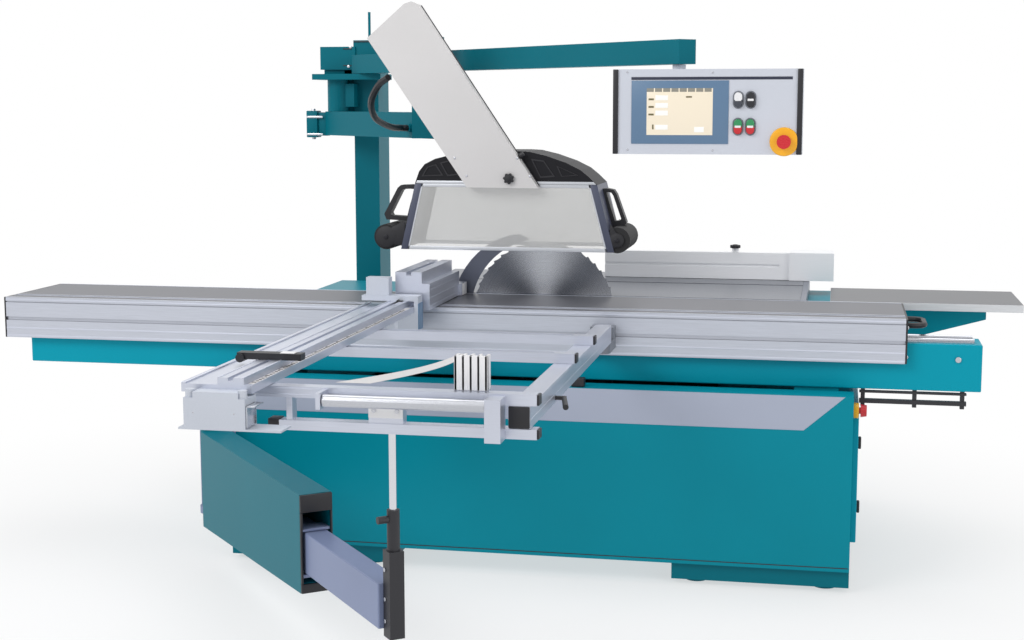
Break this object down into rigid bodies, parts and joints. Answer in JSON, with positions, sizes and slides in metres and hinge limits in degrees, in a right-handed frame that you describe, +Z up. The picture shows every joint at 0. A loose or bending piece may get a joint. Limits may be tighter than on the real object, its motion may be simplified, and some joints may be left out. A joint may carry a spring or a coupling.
{
  "type": "panel_saw",
  "caption": "Sliding table panel saw with teal cabinet, grey aluminium sliding table, outrigger with swing arm, overhead blade guard and overhead control panel.",
  "frame": {"origin": "middle of the machine's footprint on the floor", "axes": "+X along the cut to the machine's right end, +Y away from the operator at the sliding table, +Z up"},
  "size_m": [3.722, 3.365, 2.042],
  "materials": {
    "base_cabinet_finish": "satin teal powder coat",
    "plinth_left_finish": "black powder coat",
    "plinth_right_finish": "black powder coat",
    "cast_table_finish": "ground and polished",
    "extension_table_finish": "light grey coated sheet",
    "rip_fence_rail_finish": "natural anodised extrusion",
    "rip_fence_finish": "natural anodised extrusion",
    "guide_beam_finish": "satin teal powder coat",
    "guide_rail_finish": "hardened and ground",
    "column_finish": "satin teal powder coat",
    "switch_rail_finish": "black powder coat",
    "arm_pivot_bracket_finish": "lilac grey coat",
    "end_door_finish": "satin teal powder coat",
    "base_stop_button_finish": "moulded red",
    "sliding_table_finish": "anodised extrusion, planed top",
    "table_end_cap_left_finish": "moulded black",
    "table_end_cap_right_finish": "moulded black",
    "push_handle_finish": "moulded black",
    "hinge_bracket_finish": "grey coat",
    "roller_cage_finish": "pressed steel",
    "side_bar_finish": "natural anodised extrusion",
    "lock_lever_finish": "moulded black",
    "cross_bar_inner_finish": "natural anodised extrusion",
    "cross_bar_middle_finish": "natural anodised extrusion",
    "front_upper_bar_finish": "natural anodised extrusion",
    "front_lower_bar_finish": "natural anodised extrusion",
    "front_roller_finish": "turned steel tube",
    "crosscut_fence_finish": "natural anodised extrusion",
    "fence_face_finish": "natural anodised extrusion",
    "fence_clamp_finish": "moulded black",
    "fence_end_block_finish": "sand cast and coated",
    "flip_stop_finish": "moulded black",
    "swing_arm_finish": "satin teal powder coat",
    "telescopic_beam_finish": "lilac grey coat",
    "support_post_finish": "black powder coat",
    "support_tube_finish": "chrome plated tube",
    "tilt_frame_finish": "satin teal powder coat",
    "lift_carriage_finish": "machined casting",
    "saw_arbor_finish": "turned and ground",
    "saw_blade_finish": "ground disc with carbide teeth",
    "riving_knife_finish": "blackened steel sheet",
    "drive_motor_finish": "grey enamel",
    "motor_pulley_finish": "turned steel",
    "drive_belt_finish": "ribbed rubber",
    "scoring_blade_finish": "ground disc with carbide teeth",
    "guard_support_arm_finish": "satin teal powder coat",
    "guard_arm_finish": "light grey coated sheet",
    "hood_window_finish": "clear and grey moulding",
    "hood_top_finish": "moulded black",
    "hood_roller_left_finish": "black rubber tread",
    "hood_roller_right_finish": "black rubber tread",
    "guard_conduit_finish": "corrugated black conduit",
    "control_arm_finish": "satin teal powder coat",
    "control_panel_finish": "light grey coated housing",
    "panel_stop_button_finish": "moulded red",
    "push_button_1_finish": "moulded white",
    "push_button_2_finish": "moulded green",
    "push_button_3_finish": "moulded white",
    "push_button_4_finish": "moulded black"
  },
  "bodies": {
    "machine": {"base_cabinet": "base_cabinet_finish", "plinth_left": "plinth_left_finish", "plinth_right": "plinth_right_finish", "cast_table": "cast_table_finish", "extension_table": "extension_table_finish", "rip_fence_rail": "rip_fence_rail_finish", "guide_beam": "guide_beam_finish", "guide_rail": "guide_rail_finish", "column": "column_finish", "switch_rail": "switch_rail_finish", "arm_pivot_bracket": "arm_pivot_bracket_finish", "guard_support_arm": "guard_support_arm_finish", "guard_conduit": "guard_conduit_finish"},
    "slider": {"sliding_table": "sliding_table_finish", "table_end_cap_left": "table_end_cap_left_finish", "table_end_cap_right": "table_end_cap_right_finish", "push_handle": "push_handle_finish", "hinge_bracket": "hinge_bracket_finish"},
    "rollers": {"roller_cage": "roller_cage_finish"},
    "fence": {"crosscut_fence": "crosscut_fence_finish", "fence_face": "fence_face_finish", "fence_clamp": "fence_clamp_finish", "fence_end_block": "fence_end_block_finish"},
    "stop": {"flip_stop": "flip_stop_finish"},
    "outrigger_side": {"side_bar": "side_bar_finish"},
    "side_lever": {"lock_lever": "lock_lever_finish"},
    "outrigger_inner": {"cross_bar_inner": "cross_bar_inner_finish"},
    "outrigger_middle": {"cross_bar_middle": "cross_bar_middle_finish"},
    "outrigger_front": {"front_upper_bar": "front_upper_bar_finish", "front_lower_bar": "front_lower_bar_finish"},
    "outrigger_roller": {"front_roller": "front_roller_finish"},
    "arm": {"swing_arm": "swing_arm_finish"},
    "arm_extension": {"telescopic_beam": "telescopic_beam_finish", "support_post": "support_post_finish"},
    "arm_tube": {"support_tube": "support_tube_finish"},
    "tilt_unit": {"tilt_frame": "tilt_frame_finish"},
    "scorer": {"scoring_blade": "scoring_blade_finish"},
    "lift_unit": {"lift_carriage": "lift_carriage_finish", "riving_knife": "riving_knife_finish", "drive_motor": "drive_motor_finish", "drive_belt": "drive_belt_finish"},
    "blade_arbor": {"saw_arbor": "saw_arbor_finish", "saw_blade": "saw_blade_finish"},
    "motor_shaft": {"motor_pulley": "motor_pulley_finish"},
    "guard_link": {"guard_arm": "guard_arm_finish"},
    "hood": {"hood_window": "hood_window_finish", "hood_top": "hood_top_finish"},
    "hood_wheel_left": {"hood_roller_left": "hood_roller_left_finish"},
    "hood_wheel_right": {"hood_roller_right": "hood_roller_right_finish"},
    "overhead_arm": {"control_arm": "control_arm_finish"},
    "panel": {"control_panel": "control_panel_finish"},
    "panel_stop": {"panel_stop_button": "panel_stop_button_finish"},
    "button_1": {"push_button_1": "push_button_1_finish"},
    "button_2": {"push_button_2": "push_button_2_finish"},
    "button_3": {"push_button_3": "push_button_3_finish"},
    "button_4": {"push_button_4": "push_button_4_finish"},
    "base_stop": {"base_stop_button": "base_stop_button_finish"},
    "door": {"end_door": "end_door_finish"},
    "fence_rip": {"rip_fence": "rip_fence_finish"}
  },
  "joints": [
    {"name": "table_slide", "type": "slide", "parent": "machine", "child": "slider", "axis": [1, 0, 0], "range_m": [-1.4, 0.8]},
    {"name": "cage_slide", "type": "slide", "parent": "machine", "child": "rollers", "axis": [1, 0, 0], "range_m": [-0.7, 0.4]},
    {"name": "fence_swivel", "type": "hinge", "parent": "slider", "child": "fence", "pos_m": [-0.304, -0.0325, 0.925], "axis": [0, 0, 1], "range_deg": [-45, 45]},
    {"name": "stop_flip", "type": "hinge", "parent": "fence", "child": "stop", "pos_m": [-0.364, -1.3325, 0.971], "axis": [0, -1, 0], "range_deg": [0, 150]},
    {"name": "side_bar_swivel", "type": "hinge", "parent": "slider", "child": "outrigger_side", "pos_m": [0.428, -0.0325, 0.84], "axis": [0, 0, 1], "range_deg": [-45, 45]},
    {"name": "lever_turn", "type": "hinge", "parent": "outrigger_side", "child": "side_lever", "pos_m": [0.443, -1.1325, 0.8509], "axis": [-1, 0, 0], "range_deg": [0, 60]},
    {"name": "inner_bar_swivel", "type": "hinge", "parent": "outrigger_side", "child": "outrigger_inner", "pos_m": [0.428, -0.4625, 0.9], "axis": [0, 0, 1], "range_deg": [-45, 45]},
    {"name": "middle_bar_swivel", "type": "hinge", "parent": "outrigger_side", "child": "outrigger_middle", "pos_m": [0.428, -0.8225, 0.9], "axis": [0, 0, 1], "range_deg": [-45, 45]},
    {"name": "front_bar_swivel", "type": "hinge", "parent": "outrigger_side", "child": "outrigger_front", "pos_m": [0.428, -1.4825, 0.9], "axis": [0, 0, 1], "range_deg": [-45, 45]},
    {"name": "front_roller_spin", "type": "hinge", "parent": "outrigger_front", "child": "outrigger_roller", "pos_m": [0.116, -1.5425, 0.9005], "axis": [1, 0, 0], "continuous": true},
    {"name": "arm_swing", "type": "hinge", "parent": "machine", "child": "arm", "pos_m": [-0.964, -0.1125, 0.3], "axis": [0, 0, 1], "range_deg": [-34, 19.5]},
    {"name": "arm_telescope", "type": "slide", "parent": "arm", "child": "arm_extension", "axis": [0.6225, -0.7826, 0], "range_m": [-0.465, 0.266]},
    {"name": "tube_height", "type": "slide", "parent": "arm_extension", "child": "arm_tube", "axis": [0, 0, 1], "range_m": [-0.06, 0]},
    {"name": "unit_tilt", "type": "hinge", "parent": "machine", "child": "tilt_unit", "pos_m": [0.116, 0.5675, 0.925], "axis": [-1, 0, 0], "range_deg": [0, 46]},
    {"name": "scorer_spin", "type": "hinge", "parent": "tilt_unit", "child": "scorer", "pos_m": [0.516, 0.5675, 0.863], "axis": [0, 1, 0], "continuous": true},
    {"name": "unit_lift", "type": "slide", "parent": "tilt_unit", "child": "lift_unit", "axis": [0, 0, 1], "range_m": [-0.205, 0]},
    {"name": "blade_spin", "type": "hinge", "parent": "lift_unit", "child": "blade_arbor", "pos_m": [0.116, 0.5675, 0.854], "axis": [0, 1, 0], "continuous": true},
    {"name": "motor_spin", "type": "hinge", "parent": "lift_unit", "child": "motor_shaft", "pos_m": [0.136, 0.5675, 0.475], "axis": [0, 1, 0], "continuous": true},
    {"name": "guard_raise", "type": "hinge", "parent": "machine", "child": "guard_link", "pos_m": [-0.384, 0.4675, 1.84], "axis": [0, -1, 0], "range_deg": [0, 30]},
    {"name": "hood_level", "type": "hinge", "parent": "guard_link", "child": "hood", "pos_m": [0.011, 0.4775, 1.37], "axis": [0, -1, 0], "range_deg": [-30, 0]},
    {"name": "hood_wheel_left_spin", "type": "hinge", "parent": "hood", "child": "hood_wheel_left", "pos_m": [-0.478, 0.5675, 1.142], "axis": [0, 1, 0], "continuous": true},
    {"name": "hood_wheel_right_spin", "type": "hinge", "parent": "hood", "child": "hood_wheel_right", "pos_m": [0.404, 0.5675, 1.142], "axis": [0, 1, 0], "continuous": true},
    {"name": "overhead_arm_swing", "type": "hinge", "parent": "machine", "child": "overhead_arm", "pos_m": [-0.864, 1.4475, 1.8], "axis": [0, 0, 1], "range_deg": [0, 60]},
    {"name": "panel_swivel", "type": "hinge", "parent": "overhead_arm", "child": "panel", "pos_m": [0.67539, -0.03907, 1.75], "axis": [0, 0, 1], "range_deg": [-45, 45]},
    {"name": "panel_stop_press", "type": "slide", "parent": "panel", "child": "panel_stop", "axis": [0, 1, 0], "range_m": [0, 0.006], "stiffness_N_per_m": 400},
    {"name": "button_1_press", "type": "slide", "parent": "panel", "child": "button_1", "axis": [0, 1, 0], "range_m": [0, 0.004], "stiffness_N_per_m": 400},
    {"name": "button_2_press", "type": "slide", "parent": "panel", "child": "button_2", "axis": [0, 1, 0], "range_m": [0, 0.004], "stiffness_N_per_m": 400},
    {"name": "button_3_press", "type": "slide", "parent": "panel", "child": "button_3", "axis": [0, 1, 0], "range_m": [0, 0.004], "stiffness_N_per_m": 400},
    {"name": "button_4_press", "type": "slide", "parent": "panel", "child": "button_4", "axis": [0, 1, 0], "range_m": [0, 0.004], "stiffness_N_per_m": 400},
    {"name": "base_stop_press", "type": "slide", "parent": "machine", "child": "base_stop", "axis": [-1, 0, 0], "range_m": [0, 0.005], "stiffness_N_per_m": 400},
    {"name": "door_hinge", "type": "hinge", "parent": "machine", "child": "door", "pos_m": [1.2873, 0.8795, 0.4], "axis": [0, 0, 1], "range_deg": [0, 100]},
    {"name": "rip_fence_slide", "type": "slide", "parent": "machine", "child": "fence_rip", "axis": [0, 1, 0], "range_m": [-0.49, 0.12]}
  ],
  "couplings": [
    {"joint": "cage_slide", "follows": "table_slide", "ratio": 0.5},
    {"joint": "arm_swing", "follows": "table_slide", "rad_per_m": 0.42},
    {"joint": "arm_telescope", "follows": "table_slide", "ratio": 0.33},
    {"joint": "side_bar_swivel", "follows": "fence_swivel", "ratio": 1},
    {"joint": "inner_bar_swivel", "follows": "fence_swivel", "ratio": -1},
    {"joint": "middle_bar_swivel", "follows": "fence_swivel", "ratio": -1},
    {"joint": "front_bar_swivel", "follows": "fence_swivel", "ratio": -1},
    {"joint": "motor_spin", "follows": "blade_spin", "ratio": 0.65455},
    {"joint": "hood_level", "follows": "guard_raise", "ratio": -1}
  ]
}
